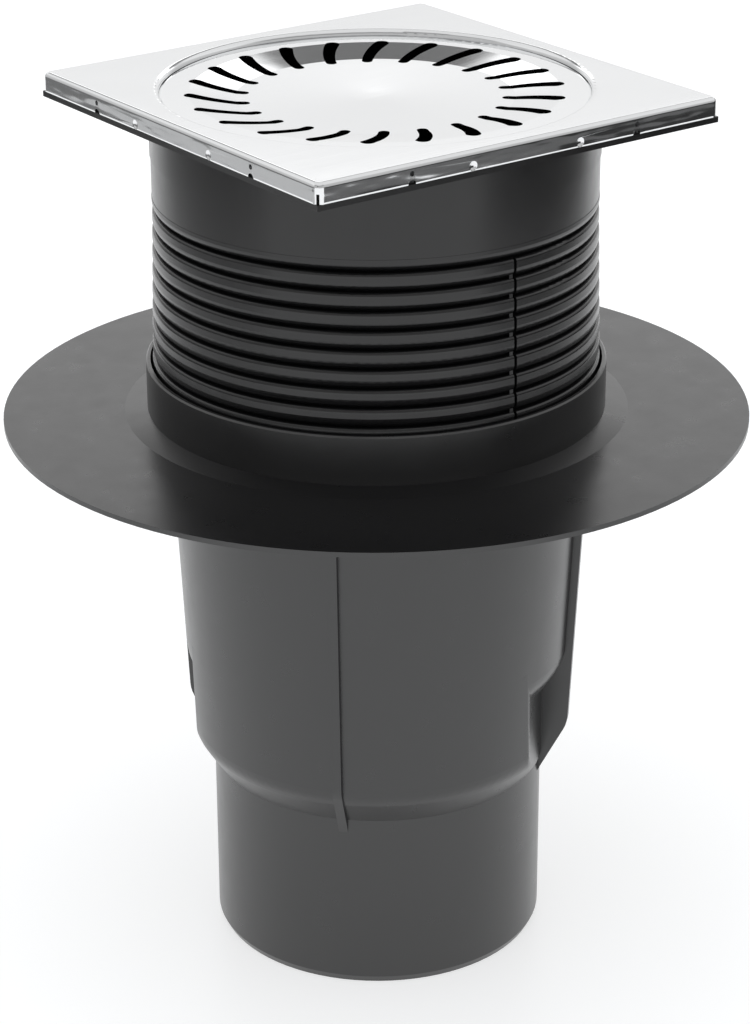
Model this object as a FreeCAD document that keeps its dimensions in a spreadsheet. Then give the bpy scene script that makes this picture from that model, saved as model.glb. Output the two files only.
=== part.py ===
import FreeCAD, Part
import math
import os
import re
import Sketcher

# Gully trap (floor drain), 150 mm square, vertical DN110 outlet.
# Origin: centre of the outlet's lower end. +Z up, sides of the cover along X and Y.
# Lengths are millimetres, angles degrees, slopes are rise over run. A size that starts with "=" follows
# from the others.

SIZES = [
    # outlet body, one polypropylene moulding
    ("spigot_diameter", 110.0, "outside diameter of the outlet"),
    ("spigot_wall", 2.7, "wall of the outlet"),
    ("spigot_length", 61.0, "outlet end to the underside of the lobes"),
    ("spigot_plain", 55.5, "length of the outlet that goes into a pipe"),
    ("spigot_swell", 0.25, "how much the outlet widens above its plain length"),
    ("spigot_lead", 1.2, "chamfer round the outlet's end"),
    ("notch_rise", 26.0, "lobe underside to notch underside"),
    ("shoulder_slope", 1.54, "slope of the bowl's lower shoulder"),
    ("lobe_rise", 20.0, "lobes' form above the notches, inside the bowl"),
    ("lobe_side", 1.0, "outlet's wall to the flat side of a lobe"),
    ("lobe_round", 3.0, "rounding of a lobe's edges"),
    ("bowl_shoulder", 6.5, "how much wider the bowl's foot is than the outlet"),
    ("bowl_foot_radius", "=spigot_diameter / 2 + bowl_shoulder", "bowl wall at the lobes' underside"),
    ("bowl_ledge", 4.9, "neck's bore to the bowl's wall under the flange"),
    ("bowl_mouth_radius", "=neck_radius - neck_wall - bowl_ledge", "bowl wall under the flange"),
    ("bowl_wall", 2.5, "wall of the bowl"),
    ("knee_radius", 11.0, "rounding between bowl wall and shoulder"),
    ("fin_thickness", 3.0, "thickness of a fin"),
    ("fin_proud", 2.5, "how far a fin stands out of the bowl"),
    ("fin_drop", 4.5, "how far a fin reaches below the lobes"),
    ("fin_slope", 1.93, "slope of a fin's lower edge"),
    ("flange_height", 183.4, "outlet end to the flange's underside"),
    ("flange_width", 46.0, "neck to the flange's edge"),
    ("flange_radius", "=neck_radius + flange_width", "radius of the sealing flange"),
    ("flange_thickness", 1.6, "thickness of the sealing flange"),
    ("neck_gap", 0.3, "gap between the riser's foot and the neck's bore"),
    ("neck_wall", 1.4, "wall of the neck"),
    ("neck_radius", "=riser_foot_radius + neck_gap + neck_wall", "outside radius of the neck"),
    ("neck_height", 17.0, "neck above the flange"),
    ("neck_bevel", 0.5, "bevel round the neck's rim"),
    ("neck_foot_width", 7.3, "width of the slope at the neck's foot"),
    ("neck_foot_height", 1.3, "height of the slope at the neck's foot"),
    ("body_turn", 47.9, "turn of the outlet body under the square cover"),
    # riser, one polypropylene moulding with the square frame
    ("riser_length", 97.15, "foot of the riser to the underside of the frame"),
    ("riser_inset", 4.9, "cover's side to the riser's plain band"),
    ("riser_top_radius", "=cover_width / 2 - riser_inset", "radius over the ribs at their upper end"),
    ("riser_flare", 1.9, "how much wider the riser is at its foot"),
    ("riser_foot_radius", "=riser_top_radius + riser_flare", "radius over the ribs at the foot"),
    ("riser_wall", 3.9, "plain band to the riser's bore"),
    ("riser_bore_radius", "=riser_top_radius - riser_wall", "inside radius of the riser"),
    ("foot_bevel", 0.5, "bevel round the riser's foot"),
    ("foot_band", 12.0, "shortest plain band at the riser's foot, which carries its ring"),
    ("rib_top", 67.1, "foot of the riser to the top of the first rib"),
    ("rib_pitch", 6.05, "distance from rib to rib"),
    ("rib_land", 4.3, "height of a rib above its undercut"),
    ("rib_depth", 2.0, "depth of the groove between two ribs"),
    ("rib_top_round", 1.0, "rounding of a rib's upper edge"),
    ("rib_foot_round", 3.0, "rounding above a rib's undercut"),
    ("bead_height", 4.26, "height of the bead that ends the plain band"),
    ("bead_step", 0.1, "step of the bead over the plain band"),
    ("seam_width", 1.0, "slot down the ribs where the mould's slides meet"),
    ("seam_web_width", 1.3, "web that fills the grooves beside the slot"),
    ("seam_web_depth", 0.7, "web's face below the ribs"),
    ("collar_step", 0.3, "step of the upper band over the lower one"),
    ("collar_height", 12.3, "height of the upper band under the frame"),
    ("frame_lip_height", 1.8, "lip that shows under the cover's skirt"),
    ("frame_lip_inset", 0.15, "lip's edge inside the cover's outer face"),
    ("frame_wall", 2.2, "wall round the frame's underside"),
    ("frame_deck", 2.5, "thickness of the frame's deck"),
    # stainless steel cover and grate
    ("cover_width", 150.0, "side of the square cover"),
    ("cover_sheet", 0.8, "sheet of the cover"),
    ("cover_height", 6.2, "height of the cover's skirt"),
    ("cover_corner", 2.6, "radius of the cover's corners"),
    ("cover_edge", 1.6, "radius of the cover's upper edge"),
    ("recess_border", 8.3, "cover's side to the recess"),
    ("recess_radius", "=cover_width / 2 - recess_border", "inside radius of the recess"),
    ("recess_roll", 2.0, "radius of the recess's rolled edge"),
    ("recess_ledge", 4.5, "width of the ledge that carries the grate"),
    ("crimp_inner", 20.0, "cover's middle to an inner crimp, a dent"),
    ("crimp_outer", 42.0, "cover's middle to an outer crimp, a notch"),
    ("crimp_radius", 1.4, "half-round notch of a crimp in the skirt's edge"),
    ("crimp_hole", 0.8, "radius of the small hole above an outer crimp"),
    ("crimp_hole_height", 3.3, "skirt's edge to the small hole"),
    ("dent_height", 1.5, "skirt's edge to the middle of a dent"),
    ("dent_radius", 0.6, "radius of a dent's floor"),
    ("dent_depth", 0.45, "depth of a dent"),
    ("dent_angle", 65.0, "slope of a dent's side away from straight in"),
    ("corner_slit", 0.9, "width of the slit where two skirts meet"),
    ("corner_slit_height", 3.0, "height of that slit"),
    ("grate_gap", 0.4, "gap round the grate"),
    ("grate_sheet", 1.0, "sheet of the grate"),
    ("grate_drop", 1.8, "cover's face to the grate's rim"),
    ("dish_border", 8.5, "grate's edge to the top of its slope"),
    ("dish_radius", "=recess_radius - grate_gap - dish_border", "outer radius of the grate's slope"),
    ("dish_slope_width", 14.5, "width of the grate's slope"),
    ("dish_depth", 1.8, "height of the grate's slope"),
    ("dish_centre", 0.8, "further fall to the grate's middle"),
    ("slot_count", 22, "number of slots"),
    ("slot_border", 9.4, "grate's edge to a slot's outer end centre"),
    ("slot_outer_radius", "=recess_radius - grate_gap - slot_border", "axis to a slot's outer end centre"),
    ("slot_reach", 15.9, "slot's inner end centre to its outer end centre, along a radius"),
    ("slot_inner_radius", "=slot_outer_radius - slot_reach", "axis to a slot's inner end centre"),
    ("slot_inner_end", 1.7, "radius of a slot's inner end"),
    ("slot_outer_end", 2.3, "radius of a slot's outer end"),
    ("slot_sweep", 5.8, "turn of a slot from end to end"),
    ("slot_bend", 37.0, "radius of a slot's curved middle line"),
    ("slot_phase", 8.3, "turn of the first slot's inner end"),
    # clearances and seals
    ("fit_gap", 0.1, "gap between pieces that slip together"),
    ("riser_ring_height", 7.57, "foot of the riser to the middle of its ring"),
    ("riser_ring_section", 1.84, "thickness of the riser's ring"),
    # water trap that hangs in the outlet
    ("pot_clearance", 3.0, "pot's wall to the outlet's bore"),
    ("pot_radius", "=spigot_diameter / 2 - spigot_wall - pot_clearance", "outside radius of the pot"),
    ("pot_wall", 2.0, "wall of the pot"),
    ("pot_rim_gap", 1.0, "pot's rim to the bowl's wall at its foot"),
    ("pot_rim_radius", "=bowl_foot_radius - bowl_wall - pot_rim_gap", "radius of the pot's rim"),
    ("pot_rim_height", 2.5, "thickness of the pot's rim"),
    ("pot_depth", 70.0, "pot from rim to floor"),
    ("pot_ring_height", 18.0, "pot's floor to the middle of its ring"),
    ("pot_land", 1.6, "width of a land beside the ring"),
    ("pot_ring_section", 2.9, "thickness of the pot's ring"),
    ("standpipe_height", 56.0, "pot's floor to the standpipe's rim"),
    ("water_gap", 13.3, "water between the pot and the bell"),
    ("bell_radius", "=pot_radius - pot_wall - water_gap", "outside radius of the bell"),
    ("bell_wall", 2.0, "wall of the bell"),
    ("air_gap", 10.0, "way between the bell and the standpipe"),
    ("standpipe_radius", "=bell_radius - bell_wall - air_gap", "outside radius of the standpipe"),
    ("bell_clearance", 12.0, "standpipe's rim to the bell's crown"),
    ("bell_height", 58.0, "height of the bell"),
    ("bell_rib", 2.0, "thickness of a rib under the crown"),
    ("grip_length", 36.0, "length of the bell's grip"),
    ("grip_height", 14.0, "height of the bell's grip"),
    ("grip_thickness", 3.0, "thickness of the bell's grip"),
]

doc = FreeCAD.newDocument("GullyTrap")
sheet = doc.addObject("Spreadsheet::Sheet", "Sizes")
for row, (name, value, note) in enumerate(SIZES, start=1):
    sheet.set("A%d" % row, name)
    sheet.setAlias("B%d" % row, name)
    sheet.set("C%d" % row, note)
for row, (name, value, note) in enumerate(SIZES, start=1):
    sheet.set("B%d" % row, str(value))
doc.recompute()

# Heights and radii that several pieces share, written once from the sheet's values.
SPIGOT_R = "(spigot_diameter / 2)"
ROOT_R = "(spigot_diameter / 2 + spigot_swell)"
BORE_R = "(spigot_diameter / 2 - spigot_wall)"
LEDGE_Z = "(flange_height + flange_thickness)"
NECK_TOP_Z = "(flange_height + flange_thickness + neck_height)"
NECK_BORE_R = "(neck_radius - neck_wall)"
NOTCH_Z = "(spigot_length + notch_rise)"
DRAFT = "((bowl_mouth_radius - bowl_foot_radius) / (flange_height - spigot_length))"
SHOULDER_SKEW = "(bowl_wall * sqrt(1 + shoulder_slope ^ 2))"
RIBS_TOP_Z = LEDGE_Z + " + rib_top"
FRAME_Z = "(" + LEDGE_Z + " + riser_length)"
SKIRT_Z = "(" + FRAME_Z + " + frame_lip_height)"
COVER_Z = "(" + SKIRT_Z + " + cover_height)"
SHEET_UNDER_Z = "(" + COVER_Z + " - cover_sheet)"
RIM_Z = "(" + COVER_Z + " - grate_drop)"
LEDGE_TOP_Z = "(" + COVER_Z + " - grate_drop - grate_sheet)"
TRAP_RIM_Z = ("(" + NOTCH_Z + " + shoulder_slope * (pot_rim_radius + fit_gap - " + SPIGOT_R
              + ") + " + SHOULDER_SKEW + ")")
POT_FLOOR_Z = "(" + TRAP_RIM_Z + " + pot_rim_height - pot_depth)"
STANDPIPE_Z = "(" + POT_FLOOR_Z + " + standpipe_height)"
CROWN_Z = "(" + STANDPIPE_Z + " + bell_clearance)"


def bound(text):
    """The text with each size's name written as a cell of the sheet."""
    return re.sub(r"\b([a-z][a-z_]+)\b(?!\s*\()", r"Sizes.\1", text)


def size(name):
    """A size's number, for choices made while the model is built."""
    return float(sheet.get(name))


def wall_radius(height, base="bowl_foot_radius"):
    """Radius of the bowl's slanting wall at a height."""
    return "(%s + %s * (%s - spigot_length))" % (base, DRAFT, height)


def knee(height, base, low_radius):
    """Corner where a shoulder that starts at low_radius and height meets the bowl's wall."""
    radius = "((%s + %s * (%s - shoulder_slope * %s - spigot_length)) / (1 - %s * shoulder_slope))" % (
        base, DRAFT, height, low_radius, DRAFT)
    return radius, "(%s + shoulder_slope * (%s - %s))" % (height, radius, low_radius)


def new_body(label):
    body = doc.addObject("PartDesign::Body", label)
    body.Label = label
    return body


def plane(body, role):
    return [f for f in body.Origin.OriginFeatures if f.Role == role][0]


def new_sketch(body, name, role, height=None):
    """A sketch on one of the body's own planes, raised to a height where one is given."""
    sketch = body.newObject("Sketcher::SketchObject", name)
    sketch.AttachmentSupport = [(plane(body, role), "")]
    sketch.MapMode = "FlatFace"
    if height is not None:
        sketch.setExpression("AttachmentOffset.Base.z", bound(height))
    return sketch


def outline(body, name, role, corners, height=None):
    """Closed straight-sided sketch. Each corner's two coordinates follow the sheet."""
    sketch = new_sketch(body, name, role, height)
    count = len(corners)
    ring = []
    for k in range(count):
        angle = 2 * math.pi * k / count
        ring.append(FreeCAD.Vector(100 + 50 * math.cos(angle), 100 + 50 * math.sin(angle), 0))
    lines = [Part.LineSegment(ring[k], ring[(k + 1) % count]) for k in range(count)]
    sketch.addGeometry(lines, False)
    joints = [Sketcher.Constraint("Coincident", k, 2, (k + 1) % count, 1) for k in range(count)]
    sketch.addConstraint(joints)
    for k, (across, along) in enumerate(corners):
        for kind, text in (("DistanceX", across), ("DistanceY", along)):
            start = ring[k].x if kind == "DistanceX" else ring[k].y
            index = sketch.addConstraint(Sketcher.Constraint(kind, -1, 1, k, 1, start))
            sketch.setExpression("Constraints[%d]" % index, bound(text))
    doc.recompute()
    return sketch


def turn(body, name, corners, cut=False):
    """Solid of revolution about Z, or the same cut away."""
    sketch = outline(body, name + "Profile", "XZ_Plane", corners)
    kind = "PartDesign::Groove" if cut else "PartDesign::Revolution"
    feature = body.newObject(kind, name)
    feature.Profile = sketch
    feature.ReferenceAxis = (sketch, ["V_Axis"])
    feature.Angle = 360.0
    doc.recompute()
    return feature


def square(body, name, half, low, high, cut=False):
    """Square block centred on Z between two heights, or the same cut away."""
    corners = [(sx + half, sy + half) for sx, sy in (("-", "-"), ("", "-"), ("", ""), ("-", ""))]
    sketch = outline(body, name + "Profile", "XY_Plane", corners, height=low)
    return extrude(body, name, sketch, "(%s) - (%s)" % (high, low), cut)


def extrude(body, name, sketch, length, cut=False, midplane=False):
    """Pad of a sketch, upwards or to both sides, or the same cut away."""
    before = body.Shape.Volume if cut else 0.0
    feature = body.newObject("PartDesign::Pocket" if cut else "PartDesign::Pad", name)
    feature.Profile = sketch
    feature.setExpression("Length", bound(length))
    if midplane:
        feature.SideType = "Symmetric"
    if cut:
        feature.Reversed = True
    doc.recompute()
    if cut and not body.Shape.Volume < before - 0.01:
        raise RuntimeError(name + " cuts nothing")
    return feature


def around(body, name, features, count):
    """The features repeated evenly about Z."""
    pattern = body.newObject("PartDesign::PolarPattern", name)
    pattern.Originals = features
    pattern.Axis = (plane(body, "Z_Axis"), [""])
    pattern.Angle = 360.0
    pattern.setExpression("Occurrences", bound(count))
    body.Tip = pattern
    doc.recompute()
    return pattern


def edges_where(shape, test):
    return ["Edge%d" % (k + 1) for k, edge in enumerate(shape.Edges) if test(edge)]


def round_off(body, name, base, names, radius):
    """Fillet of a body's edges with a radius from the sheet."""
    if not names:
        raise RuntimeError(name + " finds no edge")
    fillet = body.newObject("PartDesign::Fillet", name)
    fillet.Base = (base, names)
    fillet.setExpression("Radius", bound(radius))
    doc.recompute()
    return fillet


def ring_edges(shape, radius_limits, height_limits):
    """Full circles about Z whose radius and height lie between two numbers."""
    def inside(edge):
        curve = edge.Curve
        if not isinstance(curve, Part.Circle):
            return False
        centre = curve.Center
        if abs(centre.x) > 0.02 or abs(centre.y) > 0.02:
            return False
        return (radius_limits[0] <= curve.Radius <= radius_limits[1]
                and height_limits[0] <= centre.z <= height_limits[1])
    return edges_where(shape, inside)


# Outlet body: round outlet, bowl with two deep lobes, four fins, sealing flange and neck.

def knee_fillet(body, name, feature):
    """Rounds the bend between the bowl's wall and its shoulder, the lowest ring above the foot."""
    shape = feature.Shape
    rings = ring_edges(shape, (size("spigot_diameter") / 2 + 1.0, size("flange_radius")),
                       (size("spigot_length") + 1.0, size("flange_height") + 1.0))
    lowest = min(rings, key=lambda name: shape.getElement(name).BoundBox.ZMin)
    return round_off(body, name, feature, [lowest], "knee_radius")


def outlet_form():
    """Outside of the outlet, bowl, flange and neck, closed as a solid."""
    body = new_body("OutletForm")
    knee_r, knee_z = knee(NOTCH_Z, "bowl_foot_radius", ROOT_R)
    form = turn(body, "OutletTurn", [
        ("0", "0"),
        (SPIGOT_R + " - spigot_lead", "0"),
        (SPIGOT_R, "spigot_lead * 2"),
        (SPIGOT_R, "spigot_plain"),
        (ROOT_R, NOTCH_Z),
        (knee_r, knee_z),
        ("bowl_mouth_radius", "flange_height"),
        ("flange_radius", "flange_height"),
        ("flange_radius", LEDGE_Z),
        ("neck_radius + neck_foot_width", LEDGE_Z),
        ("neck_radius", LEDGE_Z + " + neck_foot_height"),
        ("neck_radius", NECK_TOP_Z + " - neck_bevel"),
        ("neck_radius - neck_bevel", NECK_TOP_Z),
        ("0", NECK_TOP_Z),
    ])
    knee_fillet(body, "OutletKnee", form)
    return body


def lobe_form(name, inset, base, low_radius, low_height, rounding=None):
    """Round bowl down to the lobes' underside, with its two sides cut flat."""
    body = new_body(name)
    knee_r, knee_z = knee(low_height, base, low_radius)
    top = NOTCH_Z + " + lobe_rise"
    form = turn(body, name + "Turn", [
        ("0", low_height),
        (low_radius, low_height),
        (knee_r, knee_z),
        (wall_radius(top, base), top),
        ("0", top),
    ])
    knee_fillet(body, name + "Knee", form)
    flat = "(%s + lobe_side - (%s))" % (SPIGOT_R, inset)
    reach = "(2 * bowl_mouth_radius)"
    for side, sign in (("Right", ""), ("Left", "-")):
        corners = [(sign + flat, "-" + reach), (sign + reach, "-" + reach),
                   (sign + reach, reach), (sign + flat, reach)]
        cheek = outline(body, name + side + "Profile", "XY_Plane", corners, height=low_height)
        cut = extrude(body, name + side, cheek, "(%s) - (%s)" % (top, low_height), cut=True)
    if rounding:
        place = size("spigot_diameter") / 2 + size("lobe_side")
        summit = cut.Shape.BoundBox.ZMax
        names = edges_where(cut.Shape, lambda e: abs(abs(e.BoundBox.XMin) - place) < 0.01
                            and e.BoundBox.XLength < 0.01 and e.BoundBox.ZMin < summit - 0.01)
        round_off(body, name + "Edges", cut, names, rounding)
    return body


def fin_plate(name, role):
    """One plate through the axis that leaves two opposite fins outside the bowl."""
    body = new_body(name)
    tip_z = "(spigot_length - fin_drop)"
    fin_r = "(bowl_foot_radius + fin_proud)"
    knee_r = ("((%s + %s * (%s - fin_slope * %s - spigot_length)) / (1 - %s * fin_slope))"
              % (fin_r, DRAFT, tip_z, SPIGOT_R, DRAFT))
    knee_z = "(%s + fin_slope * (%s - %s))" % (tip_z, knee_r, SPIGOT_R)
    inner = "(%s - spigot_wall / 2)" % SPIGOT_R
    start_z = "(%s - fin_slope * spigot_wall / 2)" % tip_z
    top = "bowl_mouth_radius + fin_proud"
    right = [(inner, start_z), (knee_r, knee_z), (top, "flange_height")]
    left = [("-(%s)" % r, z) for r, z in reversed(right)]
    sketch = outline(body, name + "Profile", role, right + left)
    pad = extrude(body, name + "Pad", sketch, "fin_thickness", midplane=True)
    bend = size("bowl_foot_radius")
    low = size("spigot_length")
    high = size("flange_height") - 1.0
    names = edges_where(pad.Shape, lambda e: e.BoundBox.ZLength < 0.01
                        and e.Length < 1.5 * size("fin_thickness")
                        and low < e.BoundBox.ZMin < high
                        and max(abs(e.BoundBox.XMax), abs(e.BoundBox.YMax),
                                abs(e.BoundBox.XMin), abs(e.BoundBox.YMin)) > bend)
    round_off(body, name + "Knee", pad, names, "knee_radius")
    return body


def cavity_form():
    """Water way through the outlet and the bowl, up to the neck's mouth."""
    body = new_body("CavityForm")
    base = "(bowl_foot_radius - bowl_wall)"
    start = "(%s + %s)" % (NOTCH_Z, SHOULDER_SKEW)
    knee_r, knee_z = knee(start, base, SPIGOT_R)
    low_z = "(%s - shoulder_slope * spigot_wall)" % start
    form = turn(body, "CavityTurn", [
        ("0", "0"),
        (BORE_R, "0"),
        (BORE_R, low_z),
        (knee_r, knee_z),
        (wall_radius(LEDGE_Z, base), LEDGE_Z),
        (NECK_BORE_R, LEDGE_Z),
        (NECK_BORE_R, NECK_TOP_Z),
        ("0", NECK_TOP_Z),
    ])
    knee_fillet(body, "CavityKnee", form)
    return body


def drain_body():
    outside = [
        outlet_form(),
        lobe_form("LobeForm", "0", "bowl_foot_radius", SPIGOT_R, "spigot_length", "lobe_round"),
        fin_plate("FinPlateX", "XZ_Plane"),
        fin_plate("FinPlateY", "YZ_Plane"),
    ]
    lobe_floor = "(spigot_length + %s - shoulder_slope * spigot_wall)" % SHOULDER_SKEW
    inside = [
        cavity_form(),
        lobe_form("LobeCavity", "bowl_wall", "(bowl_foot_radius - bowl_wall)", BORE_R, lobe_floor),
    ]
    solid = doc.addObject("Part::MultiFuse", "OutletSolid")
    solid.Shapes = outside
    solid.Refine = True
    hollow = doc.addObject("Part::MultiFuse", "OutletHollow")
    hollow.Shapes = inside
    hollow.Refine = True
    body = doc.addObject("Part::Cut", "drain_body")
    body.Label = "drain_body"
    body.Base = solid
    body.Tool = hollow
    body.Refine = True
    body.setExpression("Placement.Rotation.Angle", bound("-body_turn"))
    body.Placement.Rotation.Axis = FreeCAD.Vector(0, 0, 1)
    doc.recompute()
    return body


# Riser: ribbed tube and square frame in one moulding.

def rib_radius(height):
    """Radius over the ribs at a height above the riser's foot."""
    return ("(riser_foot_radius + (riser_top_radius - riser_foot_radius) * (%s) / rib_top)" % height)


def seam(body, lowest):
    """Slot down the ribs and the web beside it, on the side of the cover that faces -Y."""
    low, high = "(%s)" % lowest, "rib_top"

    def strip(name, outer, inner, middle):
        return outline(body, name, "YZ_Plane", [
            ("-%s + (%s)" % (rib_radius(low), outer), LEDGE_Z + " + " + low),
            ("-%s + (%s)" % (rib_radius(high), outer), LEDGE_Z + " + " + high),
            ("-%s + (%s)" % (rib_radius(high), inner), LEDGE_Z + " + " + high),
            ("-%s + (%s)" % (rib_radius(low), inner), LEDGE_Z + " + " + low),
        ], height=middle)

    web = strip("SeamWebProfile", "seam_web_depth", "rib_depth + seam_web_depth",
                "-(seam_width + seam_web_width) / 2")
    extrude(body, "SeamWeb", web, "seam_web_width", midplane=True)
    slot = strip("SeamSlotProfile", "-rib_depth", "rib_depth", "0")
    extrude(body, "SeamSlot", slot, "seam_width", cut=True, midplane=True)


def riser_tube():
    body = new_body("riser_tube")
    count = int((size("rib_top") - size("foot_band")) / size("rib_pitch"))
    tops = ["(rib_top - %d * rib_pitch)" % k for k in range(count + 1)]
    ring_low = "(riser_ring_height - riser_ring_section / 2 - fit_gap)"
    ring_high = "(riser_ring_height + riser_ring_section / 2 + fit_gap)"
    ring_floor = NECK_BORE_R + " - riser_ring_section - 2 * fit_gap"
    corners = [
        ("riser_bore_radius", LEDGE_Z),
        (rib_radius("0") + " - foot_bevel", LEDGE_Z),
        (rib_radius("foot_bevel"), LEDGE_Z + " + foot_bevel"),
        (rib_radius(ring_low), LEDGE_Z + " + " + ring_low),
        (ring_floor, LEDGE_Z + " + " + ring_low),
        (ring_floor, LEDGE_Z + " + " + ring_high),
        (rib_radius(ring_high), LEDGE_Z + " + " + ring_high),
        (rib_radius(tops[count]), LEDGE_Z + " + " + tops[count]),
        (rib_radius(tops[count]) + " - rib_depth", LEDGE_Z + " + " + tops[count]),
    ]
    for top in reversed(tops[:count]):
        bend = "(%s - rib_land)" % top
        corners += [
            (rib_radius(bend), LEDGE_Z + " + " + bend),
            (rib_radius(top), LEDGE_Z + " + " + top),
            (rib_radius(top) + " - rib_depth", LEDGE_Z + " + " + top),
        ]
    band = "riser_top_radius"
    step_z = FRAME_Z + " - collar_height"
    corners += [
        (band + " + bead_step", RIBS_TOP_Z + " + rib_pitch - rib_land"),
        (band + " + bead_step", RIBS_TOP_Z + " + bead_height"),
        (band, RIBS_TOP_Z + " + bead_height"),
        (band, step_z),
        (band + " + collar_step", step_z),
        (band + " + collar_step", SHEET_UNDER_Z + " - frame_deck / 2"),
        ("riser_bore_radius", SHEET_UNDER_Z + " - frame_deck / 2"),
    ]
    form = turn(body, "RiserTurn", corners)
    foot = size("flange_height") + size("flange_thickness")
    crests = [foot + size("rib_top") - k * size("rib_pitch") for k in range(count + 1)]
    bends = [z - size("rib_land") for z in crests[:count]]
    bends.append(crests[0] + size("rib_pitch") - size("rib_land"))
    inner, outer = size("riser_top_radius") - 0.2, size("riser_foot_radius") + 0.2
    upper = [n for z in crests for n in ring_edges(form.Shape, (inner, outer), (z - 0.01, z + 0.01))]
    rounded = round_off(body, "RibCrests", form, upper, "rib_top_round")
    lower = [n for z in bends for n in ring_edges(rounded.Shape, (inner, outer), (z - 0.01, z + 0.01))]
    round_off(body, "RibUndercuts", rounded, lower, "rib_foot_round")
    seam(body, tops[count])
    half = "(cover_width / 2 - cover_sheet - fit_gap)"
    square(body, "FrameBlock", half, FRAME_Z, SHEET_UNDER_Z)
    square(body, "FrameLip", "(cover_width / 2 - frame_lip_inset)", FRAME_Z, SKIRT_Z)
    under = outline(body, "FrameUnderProfile", "XY_Plane", [
        ("-%s + frame_wall" % half, "-%s + frame_wall" % half),
        ("%s - frame_wall" % half, "-%s + frame_wall" % half),
        ("%s - frame_wall" % half, "%s - frame_wall" % half),
        ("-%s + frame_wall" % half, "%s - frame_wall" % half),
    ], height=FRAME_Z)
    tube = under.addGeometry(Part.Circle(FreeCAD.Vector(0, 0, 0), FreeCAD.Vector(0, 0, 1), 70), False)
    under.addConstraint(Sketcher.Constraint("Coincident", tube, 3, -1, 1))
    index = under.addConstraint(Sketcher.Constraint("Radius", tube, 70.0))
    under.setExpression("Constraints[%d]" % index, bound(band + " + collar_step"))
    doc.recompute()
    extrude(body, "FrameUnder", under, "%s - frame_deck - %s" % (SHEET_UNDER_Z, FRAME_Z), cut=True)
    turn(body, "FrameMouth", [
        ("0", FRAME_Z),
        ("riser_bore_radius", FRAME_Z),
        ("riser_bore_radius", LEDGE_TOP_Z + " - cover_sheet - fit_gap"),
        ("recess_radius + cover_sheet + fit_gap", LEDGE_TOP_Z + " - cover_sheet - fit_gap"),
        ("recess_radius + cover_sheet + fit_gap", LEDGE_TOP_Z),
        ("recess_radius + recess_roll + fit_gap", SHEET_UNDER_Z),
        ("0", SHEET_UNDER_Z),
    ], cut=True)
    return body


def riser_ring():
    """Rubber ring in the groove at the riser's foot, sealing against the neck."""
    ring = doc.addObject("Part::Torus", "riser_ring")
    ring.Label = "riser_ring"
    ring.setExpression("Radius1", bound(NECK_BORE_R + " - riser_ring_section / 2 - fit_gap"))
    ring.setExpression("Radius2", bound("riser_ring_section / 2"))
    ring.setExpression("Placement.Base.z", bound(LEDGE_Z + " + riser_ring_height"))
    doc.recompute()
    return ring


# Cover: one folded and pressed sheet with a round recess for the grate.

def circles(body, name, depth, marks):
    """Sketch of circles on the cover's -Y side, some way below its face, as (across, height, radius)."""
    sketch = new_sketch(body, name, "XZ_Plane", "cover_width / 2 - " + depth)
    for across, height, radius in marks:
        circle = sketch.addGeometry(Part.Circle(), False)
        places = [
            ("DistanceX", (-1, 1, circle, 3), across),
            ("DistanceY", (-1, 1, circle, 3), SKIRT_Z + " + " + height),
            ("Radius", (circle,), radius),
        ]
        for kind, where, text in places:
            index = sketch.addConstraint(Sketcher.Constraint(kind, *where, 1.0))
            sketch.setExpression("Constraints[%d]" % index, bound(text))
    doc.recompute()
    return sketch


def crimps(body):
    """Notches, holes and dents that lock each skirt on the frame, and slits where two skirts meet."""
    notches = circles(body, "CrimpProfile", "cover_sheet / 2", [
        ("crimp_outer", "0", "crimp_radius"),
        ("-crimp_outer", "0", "crimp_radius"),
        ("crimp_outer", "crimp_hole_height", "crimp_hole"),
        ("-crimp_outer", "crimp_hole_height", "crimp_hole"),
    ])
    notch = extrude(body, "Crimp", notches, "2 * cover_sheet", cut=True, midplane=True)
    floors = circles(body, "DentProfile", "dent_depth", [
        ("crimp_inner", "dent_height", "dent_radius"),
        ("-crimp_inner", "dent_height", "dent_radius"),
    ])
    dent = extrude(body, "Dent", floors, "2 * dent_depth", cut=True)
    dent.setExpression("TaperAngle", bound("dent_angle"))
    around(body, "Crimps", [notch, dent], "4")
    half, side = "(cover_width / 2)", "(corner_slit / sqrt(8))"
    for name, sign in (("SlitRising", ""), ("SlitFalling", "-")):
        corners = [("-%s - %s" % (half, side), "%s(-%s + %s)" % (sign, half, side)),
                   ("-%s + %s" % (half, side), "%s(-%s - %s)" % (sign, half, side)),
                   ("%s + %s" % (half, side), "%s(%s - %s)" % (sign, half, side)),
                   ("%s - %s" % (half, side), "%s(%s + %s)" % (sign, half, side))]
        slit = outline(body, name + "Profile", "XY_Plane", corners, height=SKIRT_Z)
        extrude(body, name, slit, "corner_slit_height", cut=True)


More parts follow.
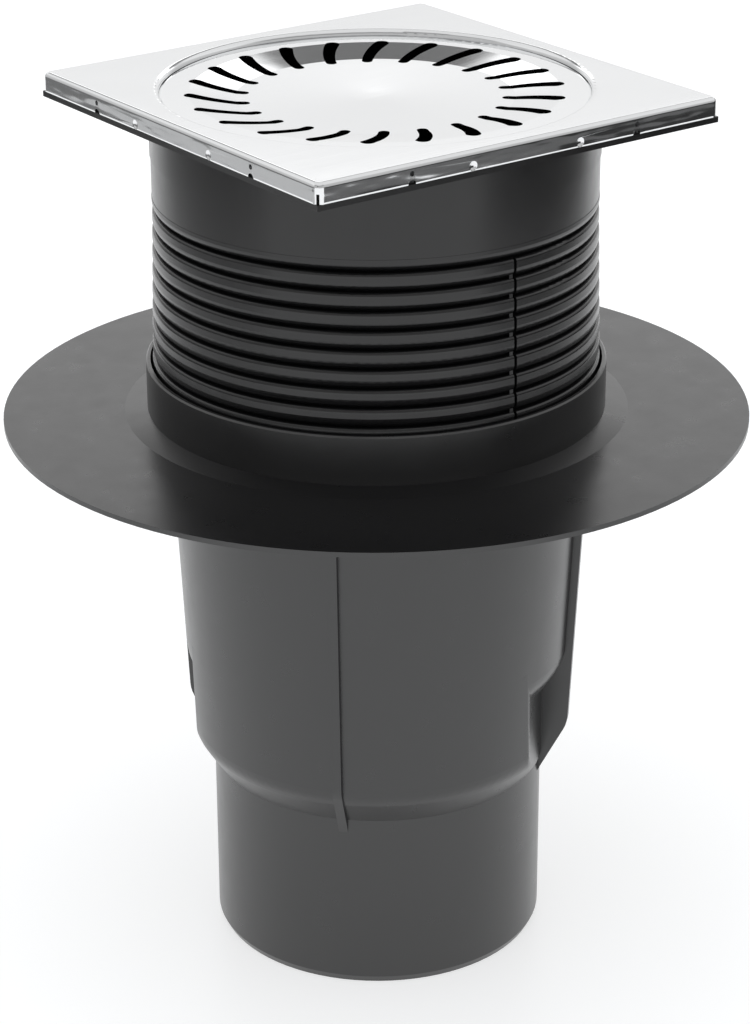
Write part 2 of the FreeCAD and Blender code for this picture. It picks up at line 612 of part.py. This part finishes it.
def cover_frame():
    body = new_body("cover_frame")
    block = square(body, "CoverBlock", "(cover_width / 2)", SKIRT_Z, COVER_Z)
    upright = edges_where(block.Shape, lambda e: e.BoundBox.ZLength > 0.9 * size("cover_height"))
    corners = round_off(body, "CoverCorners", block, upright, "cover_corner")
    top = corners.Shape.BoundBox.ZMax
    upper = edges_where(corners.Shape, lambda e: e.BoundBox.ZMin > top - 0.01)
    round_off(body, "CoverEdge", corners, upper, "cover_edge")
    half = "(cover_width / 2 - cover_sheet)"
    square(body, "CoverHollow", half, SKIRT_Z, SHEET_UNDER_Z, cut=True)
    turn(body, "RecessHole", [
        ("0", SKIRT_Z),
        ("recess_radius", SKIRT_Z),
        ("recess_radius", COVER_Z),
        ("0", COVER_Z),
    ], cut=True)
    recess = turn(body, "RecessTurn", [
        ("recess_radius - recess_ledge", LEDGE_TOP_Z + " - cover_sheet"),
        ("recess_radius + cover_sheet", LEDGE_TOP_Z + " - cover_sheet"),
        ("recess_radius + cover_sheet", SHEET_UNDER_Z + " + cover_sheet / 2"),
        ("recess_radius", SHEET_UNDER_Z + " + cover_sheet / 2"),
        ("recess_radius", LEDGE_TOP_Z),
        ("recess_radius - recess_ledge", LEDGE_TOP_Z),
    ])
    radius = size("recess_radius")
    sheet_gauge = size("cover_sheet")
    inner = ring_edges(recess.Shape, (radius + sheet_gauge - 0.01, radius + sheet_gauge + 0.01),
                       (top - sheet_gauge - 0.01, top - sheet_gauge + 0.01))
    under = round_off(body, "RecessUnderRoll", recess, inner, "recess_roll - cover_sheet")
    mouth = ring_edges(under.Shape, (radius - 0.01, radius + 0.01), (top - 0.01, top + 0.01))
    round_off(body, "RecessRoll", under, mouth, "recess_roll")
    crimps(body)
    return body


def slot_sketch(body):
    """One slot: two round ends of different size joined by two arcs."""
    start = LEDGE_TOP_Z + " - dish_depth - dish_centre - grate_sheet"
    sketch = new_sketch(body, "SlotOutline", "XY_Plane", start)
    phase = math.radians(size("slot_phase"))
    sweep = math.radians(size("slot_sweep"))
    up = FreeCAD.Vector(0, 0, 1)
    near = FreeCAD.Vector(math.cos(phase), math.sin(phase), 0) * size("slot_inner_radius")
    far = FreeCAD.Vector(math.cos(phase - sweep), math.sin(phase - sweep), 0) * size("slot_outer_radius")
    chord = far - near
    middle = (near + far) * 0.5
    normal = up.cross(chord).normalize()
    bend = size("slot_bend")
    hub = middle - normal * math.sqrt(bend ** 2 - (chord.Length / 2) ** 2)
    mean = (size("slot_inner_end") + size("slot_outer_end")) / 2

    def touch(centre, radius, side):
        away = (centre - hub).normalize()
        return centre + away * radius * side

    start_angle = math.atan2((near - hub).y, (near - hub).x)
    end_angle = math.atan2((far - hub).y, (far - hub).x)
    low_angle, high_angle = min(start_angle, end_angle), max(start_angle, end_angle)
    outer_side = Part.ArcOfCircle(Part.Circle(hub, up, bend + mean), low_angle, high_angle)
    inner_side = Part.ArcOfCircle(Part.Circle(hub, up, bend - mean), low_angle, high_angle)

    def cap(centre, radius, other):
        away = (centre - other).normalize()
        points = (touch(centre, radius, 1), centre + away * radius, touch(centre, radius, -1))
        return Part.Arc(*points)

    near_cap = cap(near, size("slot_inner_end"), far)
    far_cap = cap(far, size("slot_outer_end"), near)
    ids = sketch.addGeometry([near_cap, far_cap, outer_side, inner_side], False)
    near_id, far_id, outer_id, inner_id = ids

    def ends(index):
        return [(sketch.getPoint(index, 1), 1), (sketch.getPoint(index, 2), 2)]

    for cap_id in (near_id, far_id):
        for side_id in (outer_id, inner_id):
            pairs = [((a - b).Length, i, j) for a, i in ends(cap_id) for b, j in ends(side_id)]
            _, i, j = min(pairs)
            sketch.addConstraint(Sketcher.Constraint("Tangent", cap_id, i, side_id, j))
    places = [
        ("Radius", (near_id,), size("slot_inner_end"), "slot_inner_end"),
        ("Radius", (far_id,), size("slot_outer_end"), "slot_outer_end"),
        ("DistanceX", (-1, 1, near_id, 3), near.x, "slot_inner_radius * cos(slot_phase * 1 deg)"),
        ("DistanceY", (-1, 1, near_id, 3), near.y, "slot_inner_radius * sin(slot_phase * 1 deg)"),
        ("DistanceX", (-1, 1, far_id, 3), far.x,
         "slot_outer_radius * cos((slot_phase - slot_sweep) * 1 deg)"),
        ("DistanceY", (-1, 1, far_id, 3), far.y,
         "slot_outer_radius * sin((slot_phase - slot_sweep) * 1 deg)"),
        ("Radius", (outer_id,), bend + mean, "slot_bend + (slot_inner_end + slot_outer_end) / 2"),
    ]
    for kind, where, value, text in places:
        index = sketch.addConstraint(Sketcher.Constraint(kind, *where, value))
        sketch.setExpression("Constraints[%d]" % index, bound(text).replace("Sizes.deg", "deg"))
    doc.recompute()
    return sketch


def grate():
    body = new_body("grate")
    edge = "(recess_radius - grate_gap)"
    floor = RIM_Z + " - dish_depth"
    floor_edge = "dish_radius - dish_slope_width"
    centre = floor + " - dish_centre"
    turn(body, "GrateTurn", [
        ("0", centre + " - grate_sheet"),
        (floor_edge, floor + " - grate_sheet"),
        ("dish_radius", RIM_Z + " - grate_sheet"),
        (edge, RIM_Z + " - grate_sheet"),
        (edge, RIM_Z),
        ("dish_radius", RIM_Z),
        (floor_edge, floor),
        ("0", centre),
    ])
    depth = "3 * grate_sheet + dish_depth + dish_centre"
    slot = extrude(body, "Slot", slot_sketch(body), depth, cut=True)
    around(body, "Slots", [slot], "slot_count")
    return body


# Water trap: pot with standpipe, its ring, and the bell over the standpipe.

def trap_pot():
    body = new_body("trap_pot")
    ring_z = POT_FLOOR_Z + " + pot_ring_height"
    reach = "(%s - 2 * fit_gap)" % BORE_R
    floor_r = "(%s - pot_ring_section - fit_gap)" % reach
    land = "(pot_ring_section / 2 + fit_gap)"
    turn(body, "PotTurn", [
        ("standpipe_radius - pot_wall", POT_FLOOR_Z),
        ("pot_radius", POT_FLOOR_Z),
        ("pot_radius", ring_z + " - " + land + " - pot_land"),
        (reach, ring_z + " - " + land + " - pot_land"),
        (reach, ring_z + " - " + land),
        (floor_r, ring_z + " - " + land),
        (floor_r, ring_z + " + " + land),
        (reach, ring_z + " + " + land),
        (reach, ring_z + " + " + land + " + pot_land"),
        ("pot_radius", ring_z + " + " + land + " + pot_land"),
        ("pot_radius", TRAP_RIM_Z),
        ("pot_rim_radius", TRAP_RIM_Z),
        ("pot_rim_radius", TRAP_RIM_Z + " + pot_rim_height"),
        ("pot_radius - pot_wall", TRAP_RIM_Z + " + pot_rim_height"),
        ("pot_radius - pot_wall", POT_FLOOR_Z + " + pot_wall"),
        ("standpipe_radius", POT_FLOOR_Z + " + pot_wall"),
        ("standpipe_radius", STANDPIPE_Z),
        ("standpipe_radius - pot_wall", STANDPIPE_Z),
    ])
    return body


def trap_ring():
    """Rubber ring between the pot and the outlet's bore."""
    ring = doc.addObject("Part::Torus", "trap_ring")
    ring.Label = "trap_ring"
    ring.setExpression("Radius1", bound(BORE_R + " - pot_ring_section / 2 - fit_gap"))
    ring.setExpression("Radius2", bound("pot_ring_section / 2"))
    ring.setExpression("Placement.Base.z", bound(POT_FLOOR_Z + " + pot_ring_height"))
    doc.recompute()
    return ring


def trap_bell():
    body = new_body("trap_bell")
    crown = CROWN_Z
    foot = "(%s + bell_wall - bell_height)" % crown
    turn(body, "BellTurn", [
        ("0", crown),
        ("bell_radius - bell_wall", crown),
        ("bell_radius - bell_wall", foot),
        ("bell_radius", foot),
        ("bell_radius", crown + " + bell_wall"),
        ("0", crown + " + bell_wall"),
    ])
    for name, across, along in (("BellRibX", "bell_radius - bell_wall / 2", "bell_rib / 2"),
                                ("BellRibY", "bell_rib / 2", "bell_radius - bell_wall / 2")):
        corners = [("-(%s)" % across, "-(%s)" % along), (across, "-(%s)" % along),
                   (across, along), ("-(%s)" % across, along)]
        rib = outline(body, name + "Profile", "XY_Plane", corners, height=STANDPIPE_Z)
        extrude(body, name, rib, "bell_clearance + bell_wall / 2")
    grip = outline(body, "GripProfile", "XZ_Plane", [
        ("-grip_length / 2", crown + " + bell_wall / 2"),
        ("-grip_length / 2 + grip_thickness", crown + " + bell_wall / 2"),
        ("-grip_length / 2 + grip_thickness", crown + " + bell_wall + grip_height - grip_thickness"),
        ("grip_length / 2 - grip_thickness", crown + " + bell_wall + grip_height - grip_thickness"),
        ("grip_length / 2 - grip_thickness", crown + " + bell_wall / 2"),
        ("grip_length / 2", crown + " + bell_wall / 2"),
        ("grip_length / 2", crown + " + bell_wall + grip_height"),
        ("-grip_length / 2", crown + " + bell_wall + grip_height"),
    ])
    extrude(body, "Grip", grip, "2 * grip_thickness", midplane=True)
    return body


PIECES = [drain_body(), riser_tube(), riser_ring(), cover_frame(), grate(),
          trap_pot(), trap_ring(), trap_bell()]

doc.recompute()
for item in doc.Objects:
    if "Invalid" in item.State or "Error" in item.State:
        raise RuntimeError("%s did not rebuild: %s" % (item.Label, item.State))

os.makedirs("parts", exist_ok=True)
for piece in PIECES:
    shape = piece.Shape
    if shape.isNull() or not shape.isValid() or len(shape.Solids) != 1:
        raise RuntimeError("%s is not one sound solid" % piece.Label)
    box = shape.BoundBox
    print("%-12s %9.1f mm3  x %.1f..%.1f  y %.1f..%.1f  z %.2f..%.2f" % (
        piece.Label, shape.Volume, box.XMin, box.XMax, box.YMin, box.YMax, box.ZMin, box.ZMax))
    shape.exportStep("parts/%s.step" % piece.Label)
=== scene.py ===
import math

import bpy
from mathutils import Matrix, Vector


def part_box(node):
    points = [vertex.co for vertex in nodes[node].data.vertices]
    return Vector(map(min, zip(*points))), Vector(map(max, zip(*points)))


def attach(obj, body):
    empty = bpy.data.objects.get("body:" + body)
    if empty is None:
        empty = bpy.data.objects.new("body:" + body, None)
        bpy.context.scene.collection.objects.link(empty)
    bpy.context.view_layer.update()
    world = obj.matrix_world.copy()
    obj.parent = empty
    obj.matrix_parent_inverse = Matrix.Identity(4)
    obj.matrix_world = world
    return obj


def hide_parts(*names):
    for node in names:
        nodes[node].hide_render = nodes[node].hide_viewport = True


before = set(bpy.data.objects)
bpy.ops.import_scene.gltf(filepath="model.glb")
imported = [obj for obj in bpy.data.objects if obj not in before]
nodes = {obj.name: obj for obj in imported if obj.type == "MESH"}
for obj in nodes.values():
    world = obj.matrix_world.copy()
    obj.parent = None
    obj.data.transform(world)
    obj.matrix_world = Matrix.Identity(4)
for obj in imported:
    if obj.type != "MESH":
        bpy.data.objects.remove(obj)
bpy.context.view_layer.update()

# Camera, 0.9 m from the drain's axis and 0.54 m up, off one corner of the cover, tilted down onto it.
# The lens is a long one, as for a catalogue picture, and the camera leans a quarter of a degree.
camera_data = bpy.data.cameras.new("camera")
camera_data.lens = 105.2
camera_data.sensor_width = 36.0
camera = bpy.data.objects.new("camera", camera_data)
bpy.context.scene.collection.objects.link(camera)
camera.location = (-0.5323, -0.7271, 0.5364)
camera.rotation_euler = (math.radians(66.57), 0.0, math.radians(-36.17))
camera.rotation_euler.rotate_axis("Z", math.radians(-0.23))
bpy.context.scene.camera = camera
bpy.context.scene.view_settings.view_transform = "Standard"


# Outlet body: outlet, bowl with two lobes, fins, flange and neck, one moulding of black polypropylene.
# The mould was spark-eroded, so the skin is a fine satin with a slow mottle where the melt flowed.


def hex_colour(text):
    """The linear colour of an sRGB hex value."""
    channels = [int(text[k:k + 2], 16) / 255 for k in (1, 3, 5)]
    linear = [c / 12.92 if c <= 0.04045 else ((c + 0.055) / 1.055) ** 2.4 for c in channels]
    return (*linear, 1.0)


def add_node(tree, kind, inputs=None, **settings):
    """A node with its settings. An input is a value, or another node's output to link."""
    node = tree.nodes.new(kind)
    for name, value in settings.items():
        setattr(node, name, value)
    for name, value in (inputs or {}).items():
        if isinstance(value, bpy.types.NodeSocket):
            tree.links.new(value, node.inputs[name])
        else:
            node.inputs[name].default_value = value
    return node


def polypropylene(name, dark, light, gloss_low, gloss_high, grain, shine=0.5):
    """Moulded polypropylene: its gloss, a slow mottle, and the fine grain of the eroded mould."""
    material = bpy.data.materials.new(name)
    material.use_nodes = True
    tree = material.node_tree
    shader = tree.nodes["Principled BSDF"]
    place = add_node(tree, "ShaderNodeTexCoord")
    # flow marks of the melt, about 25 mm across
    flow = add_node(tree, "ShaderNodeTexNoise", {
        "Vector": place.outputs["Object"], "Scale": 1 / 0.025, "Detail": 3.0, "Distortion": 0.6})
    tint = add_node(tree, "ShaderNodeMix", {
        "Factor": flow.outputs["Fac"], "A": hex_colour(dark), "B": hex_colour(light)}, data_type="RGBA")
    tree.links.new(tint.outputs["Result"], shader.inputs["Base Color"])
    # patches of more and less gloss, about 9 mm across
    patches = add_node(tree, "ShaderNodeTexNoise", {
        "Vector": place.outputs["Object"], "Scale": 1 / 0.009, "Detail": 4.0, "Roughness": 0.6})
    gloss = add_node(tree, "ShaderNodeMapRange", {
        "Value": patches.outputs["Fac"], "From Min": 0.3, "From Max": 0.7,
        "To Min": gloss_low, "To Max": gloss_high})
    tree.links.new(gloss.outputs["Result"], shader.inputs["Roughness"])
    # spark-eroded grain, really 0.1 mm, drawn at 0.8 mm so that it shows
    pits = add_node(tree, "ShaderNodeTexNoise", {
        "Vector": place.outputs["Object"], "Scale": 1 / 0.0008, "Detail": 2.0})
    relief = add_node(tree, "ShaderNodeBump", {
        "Height": pits.outputs["Fac"], "Strength": grain, "Distance": 0.00004})
    tree.links.new(relief.outputs["Normal"], shader.inputs["Normal"])
    shader.inputs["IOR"].default_value = 1.49
    shader.inputs["Specular IOR Level"].default_value = shine
    return material


outlet_plastic = polypropylene("satin_black_polypropylene", "#0d0d0e", "#111112", 0.27, 0.31, 0.25,
                               shine=1.0)
nodes["drain_body"].data.materials[0] = outlet_plastic


# Trap pot and bell, lift-out mouldings of dark grey polypropylene.
# They have a polished mould's gloss, dulled a little by handling.

trap_plastic = polypropylene("grey_trap_polypropylene", "#2a2b2d", "#333437", 0.30, 0.42, 0.15)
nodes["trap_pot"].data.materials[0] = trap_plastic
nodes["trap_bell"].data.materials[0] = trap_plastic


# Rings of the trap and the riser, moulded from black rubber.
# Rubber is matt, with a faint bloom that greys it in patches.

rubber = bpy.data.materials.new("black_moulded_rubber")
rubber.use_nodes = True
rubber_shader = rubber.node_tree.nodes["Principled BSDF"]
rubber_place = add_node(rubber.node_tree, "ShaderNodeTexCoord")
bloom = add_node(rubber.node_tree, "ShaderNodeTexNoise", {
    "Vector": rubber_place.outputs["Object"], "Scale": 1 / 0.006, "Detail": 5.0})
bloom_tint = add_node(rubber.node_tree, "ShaderNodeMix", {
    "Factor": bloom.outputs["Fac"], "A": hex_colour("#161616"), "B": hex_colour("#242424")},
    data_type="RGBA")
rubber.node_tree.links.new(bloom_tint.outputs["Result"], rubber_shader.inputs["Base Color"])
rubber_shader.inputs["Roughness"].default_value = 0.7
rubber_shader.inputs["IOR"].default_value = 1.52
nodes["trap_ring"].data.materials[0] = rubber
nodes["riser_ring"].data.materials[0] = rubber


# Riser: ribbed tube and square frame in one moulding of the same black polypropylene.
# It comes from a smoother mould than the outlet body, so it shines a little more.

riser_plastic = polypropylene("glossier_black_polypropylene", "#0f0f10", "#131314", 0.22, 0.27, 0.15,
                              shine=0.65)
nodes["riser_tube"].data.materials[0] = riser_plastic


# Cover: one stainless sheet, bright rolled, folded down at the sides and pressed into a round recess.
# Rolling leaves faint lines along the sheet, and pressing a slow waviness that bends reflections.
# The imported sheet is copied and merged, so that the skirt's lower edge can be rolled in to a hem.


def stainless(name, colour, gloss_low, gloss_high, waviness, folded_waviness):
    """Stainless sheet with faint rolling lines, and a slow waviness that is stronger on folded sides."""
    material = bpy.data.materials.new(name)
    material.use_nodes = True
    tree = material.node_tree
    shader = tree.nodes["Principled BSDF"]
    shader.inputs["Base Color"].default_value = hex_colour(colour)
    shader.inputs["Metallic"].default_value = 1.0
    place = add_node(tree, "ShaderNodeTexCoord")
    # rolling lines, really finer than a hair, drawn 0.5 mm apart and 40 mm long so that they show
    along = add_node(tree, "ShaderNodeMapping", {
        "Vector": place.outputs["Object"], "Scale": (1 / 0.04, 1 / 0.0005, 1 / 0.04)})
    lines = add_node(tree, "ShaderNodeTexNoise", {
        "Vector": along.outputs["Vector"], "Scale": 1.0, "Detail": 3.0})
    gloss = add_node(tree, "ShaderNodeMapRange", {
        "Value": lines.outputs["Fac"], "From Min": 0.3, "From Max": 0.7,
        "To Min": gloss_low, "To Max": gloss_high})
    tree.links.new(gloss.outputs["Result"], shader.inputs["Roughness"])
    # waviness left by pressing and folding, about 30 mm along the sheet's edges and 7 mm down its sides
    stretched = add_node(tree, "ShaderNodeMapping", {
        "Vector": place.outputs["Object"], "Scale": (1 / 0.03, 1 / 0.03, 1 / 0.007)})
    waves = add_node(tree, "ShaderNodeTexNoise", {
        "Vector": stretched.outputs["Vector"], "Scale": 1.0, "Detail": 2.0})
    # upright faces are wavier than flat ones, because folding stretches them
    facing = add_node(tree, "ShaderNodeSeparateXYZ", {"Vector": place.outputs["Normal"]})
    upright = add_node(tree, "ShaderNodeMapRange", {
        "Value": facing.outputs["Z"], "From Min": 0.0, "From Max": 0.5,
        "To Min": folded_waviness, "To Max": waviness})
    relief = add_node(tree, "ShaderNodeBump", {
        "Height": waves.outputs["Fac"], "Strength": upright.outputs["Result"], "Distance": 0.0005})
    tree.links.new(relief.outputs["Normal"], shader.inputs["Normal"])
    return material


cover_steel = stainless("bright_rolled_stainless", "#eeeff0", 0.06, 0.11, 0.05, 0.6)
cover = nodes["cover_frame"].copy()
cover.data = nodes["cover_frame"].data.copy()
cover.name = "cover"
cover.data.materials[0] = cover_steel
bpy.context.scene.collection.objects.link(cover)
bpy.ops.object.select_all(action="DESELECT")
cover.select_set(True)
bpy.context.view_layer.objects.active = cover
bpy.ops.mesh.customdata_custom_splitnormals_clear()
bpy.ops.object.mode_set(mode="EDIT")
bpy.ops.mesh.select_all(action="SELECT")
bpy.ops.mesh.remove_doubles(threshold=0.000002)
# the skirt's lowest 0.5 mm is rolled inwards a little all round, which draws a bright hem
hem_height = 0.0005
hem_shrink = 0.0017
near_enough = 0.00001
cover_low, cover_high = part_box("cover_frame")
hem_top = cover_low[2] + hem_height
bpy.ops.mesh.select_all(action="SELECT")
bpy.ops.mesh.bisect(plane_co=(0.0, 0.0, hem_top), plane_no=(0.0, 0.0, 1.0))
bpy.ops.mesh.mark_sharp()
bpy.ops.object.mode_set(mode="OBJECT")
for vertex in cover.data.vertices:
    place = vertex.co
    outer = max(abs(place.x), abs(place.y)) > cover_high[0] - near_enough
    if outer and place.z < hem_top:
        drawn_in = 1.0 - hem_shrink * (hem_top - place.z) / hem_height
        place.x *= drawn_in
        place.y *= drawn_in
bpy.ops.object.shade_smooth_by_angle(angle=math.radians(30))
# flat faces keep an even shine up to their folds
even_shine = cover.modifiers.new("even_shine", "WEIGHTED_NORMAL")
even_shine.keep_sharp = True
even_shine.weight = 100
bpy.ops.object.modifier_apply(modifier="even_shine")
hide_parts("cover_frame")
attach(cover, "riser")


# Grate: one stainless disc, punched with swirled slots and pressed into a shallow dish.
# It is polished, so it mirrors a little more sharply than the cover, and lies flatter.

grate_steel = stainless("polished_stainless", "#f0f1f2", 0.05, 0.08, 0.05, 0.05)
nodes["grate"].data.materials[0] = grate_steel


# Floor: a pale sheet that runs out of sight on all sides, with a faint gloss under the drain.
# It looks white to the camera and in reflections, and still takes the drain's shadow.

bpy.ops.object.select_all(action="DESELECT")
bpy.ops.mesh.primitive_plane_add(size=12.0, location=(0.0, 0.0, 0.0))
floor = bpy.context.object
floor.name = "floor"
floor_paint = bpy.data.materials.new("white_floor_sheet")
floor_paint.use_nodes = True
floor_tree = floor_paint.node_tree
floor_shader = floor_tree.nodes["Principled BSDF"]
floor_shader.inputs["Base Color"].default_value = hex_colour("#b4b6b8")
floor_shader.inputs["Roughness"].default_value = 0.35
floor_glow = 0.62
rays = add_node(floor_tree, "ShaderNodeLightPath")
seen = add_node(floor_tree, "ShaderNodeMath", {
    0: rays.outputs["Is Camera Ray"], 1: rays.outputs["Is Glossy Ray"]}, operation="MAXIMUM")
seen_through = add_node(floor_tree, "ShaderNodeMath", {
    0: seen.outputs["Value"], 1: rays.outputs["Is Transmission Ray"]}, operation="MAXIMUM")
lift = add_node(floor_tree, "ShaderNodeMath", {
    0: seen_through.outputs["Value"], 1: floor_glow}, operation="MULTIPLY")
floor_tree.links.new(lift.outputs["Value"], floor_shader.inputs["Emission Strength"])
floor_shader.inputs["Emission Color"].default_value = (1.0, 1.0, 1.0, 1.0)
floor.data.materials.append(floor_paint)


# Upright sheets on the two sides of the set: dark felt on the right and card on the left, each with a
# paler strip along its foot. Only shiny parts see them, the cover's skirt and the flanks of the riser.
# The strips give the skirt its grey, and the darker sheets above them its wavy dark patches.


def side_sheet(name, colour, azimuth, distance, width, height):
    """An upright sheet that faces the drain, seen in reflections alone. Azimuth in degrees from +Y."""
    turn = math.radians(azimuth)
    place = (-distance * math.sin(turn), distance * math.cos(turn), height / 2)
    bpy.ops.object.select_all(action="DESELECT")
    bpy.ops.mesh.primitive_plane_add(size=1.0, location=place, rotation=(math.radians(90), 0.0, turn))
    sheet = bpy.context.object
    sheet.name = name
    sheet.scale = (width, height, 1.0)
    sheet.visible_camera = False
    sheet.visible_diffuse = False
    sheet.visible_transmission = False
    sheet.visible_shadow = False
    paint = bpy.data.materials.new(name)
    paint.use_nodes = True
    sheet_shader = paint.node_tree.nodes["Principled BSDF"]
    sheet_shader.inputs["Base Color"].default_value = hex_colour(colour)
    sheet_shader.inputs["Roughness"].default_value = 0.9
    sheet.data.materials.append(paint)


side_sheet("grey_felt_strip", "#747474", -124.0, 0.77, 1.25, 0.085)
side_sheet("black_felt_sheet", "#333333", -124.0, 0.78, 1.25, 0.28)
side_sheet("pale_card_strip", "#e8e8e8", 52.0, 0.75, 1.2, 0.085)
side_sheet("grey_card_sheet", "#8a8a8a", 52.0, 0.76, 1.2, 0.28)


# Light: a soft box overhead and a white room. Shiny parts see the room as bright behind the drain up to
# 24 degrees, dark above that, and grey at the sides and in front, which draws the greys on plastic and
# steel. The soft box itself doesn't show in them.

bpy.ops.object.light_add(type="AREA", location=(-0.3, -0.2, 1.7))
overhead = bpy.context.object
overhead.name = "overhead_box"
overhead.data.shape = "SQUARE"
overhead.data.size = 1.4
overhead.data.energy = 9.0
overhead.visible_glossy = False

room = bpy.data.worlds.new("room")
bpy.context.scene.world = room
room.use_nodes = True
room_tree = room.node_tree
room_tree.nodes.clear()
toward = add_node(room_tree, "ShaderNodeTexCoord")
# the direction is turned so that its Y points from the photo's camera towards the drain
turned = add_node(room_tree, "ShaderNodeVectorRotate", {
    "Vector": toward.outputs["Generated"], "Angle": math.radians(36.17)}, rotation_type="Z_AXIS")
parts = add_node(room_tree, "ShaderNodeSeparateXYZ", {"Vector": turned.outputs["Vector"]})


def levels(stops):
    """A ramp of greys over the direction's height, from (height, level) pairs."""
    ramp = add_node(room_tree, "ShaderNodeValToRGB", {"Fac": parts.outputs["Z"]})
    elements = ramp.color_ramp.elements
    elements[-1].position = stops[-1][0]
    for height, level in stops[1:-1]:
        elements.new(height)
    for element, (height, level) in zip(elements, stops):
        element.color = (level, level, level, 1.0)
    return ramp.outputs["Color"]


# what shiny parts see behind the drain, beside it, and in front of it, where the photo's camera stands
back = levels([(0.0, 0.50), (0.237, 0.50), (0.264, 0.52), (0.30, 0.55), (0.335, 1.0), (0.41, 1.0),
               (0.435, 0.10), (0.56, 0.10), (0.72, 0.20), (0.85, 0.45)])
sides = levels([(0.0, 0.25), (0.15, 0.32), (0.38, 0.36), (0.52, 0.50), (0.85, 0.45)])
front = levels([(0.0, 0.25), (0.15, 0.28), (0.45, 0.30), (0.70, 0.15), (0.90, 0.45)])
behind = add_node(room_tree, "ShaderNodeMapRange", {
    "Value": parts.outputs["Y"], "From Min": 0.68, "From Max": 0.86}, interpolation_type="SMOOTHSTEP")
before = add_node(room_tree, "ShaderNodeMapRange", {
    "Value": parts.outputs["Y"], "From Min": 0.05, "From Max": -0.30}, interpolation_type="SMOOTHSTEP")
near = add_node(room_tree, "ShaderNodeMix", {
    "Factor": before.outputs["Result"], "A": sides, "B": front}, data_type="RGBA")
dimming = add_node(room_tree, "ShaderNodeMix", {
    "Factor": behind.outputs["Result"], "A": near.outputs["Result"], "B": back}, data_type="RGBA")
fill_strength = 0.75
mirrored_strength = 1.8
room_rays = add_node(room_tree, "ShaderNodeLightPath")
fill = add_node(room_tree, "ShaderNodeBackground", {
    "Color": (1.0, 1.0, 1.0, 1.0), "Strength": fill_strength})
mirrored = add_node(room_tree, "ShaderNodeBackground", {
    "Color": dimming.outputs["Result"], "Strength": mirrored_strength})
white = add_node(room_tree, "ShaderNodeBackground", {"Color": (1.0, 1.0, 1.0, 1.0), "Strength": 1.0})
not_white = add_node(room_tree, "ShaderNodeMixShader", {
    0: room_rays.outputs["Is Glossy Ray"], 1: fill.outputs[0], 2: mirrored.outputs[0]})
shown = add_node(room_tree, "ShaderNodeMixShader", {
    0: room_rays.outputs["Is Camera Ray"], 1: not_white.outputs[0], 2: white.outputs[0]})
add_node(room_tree, "ShaderNodeOutputWorld", {"Surface": shown.outputs[0]})
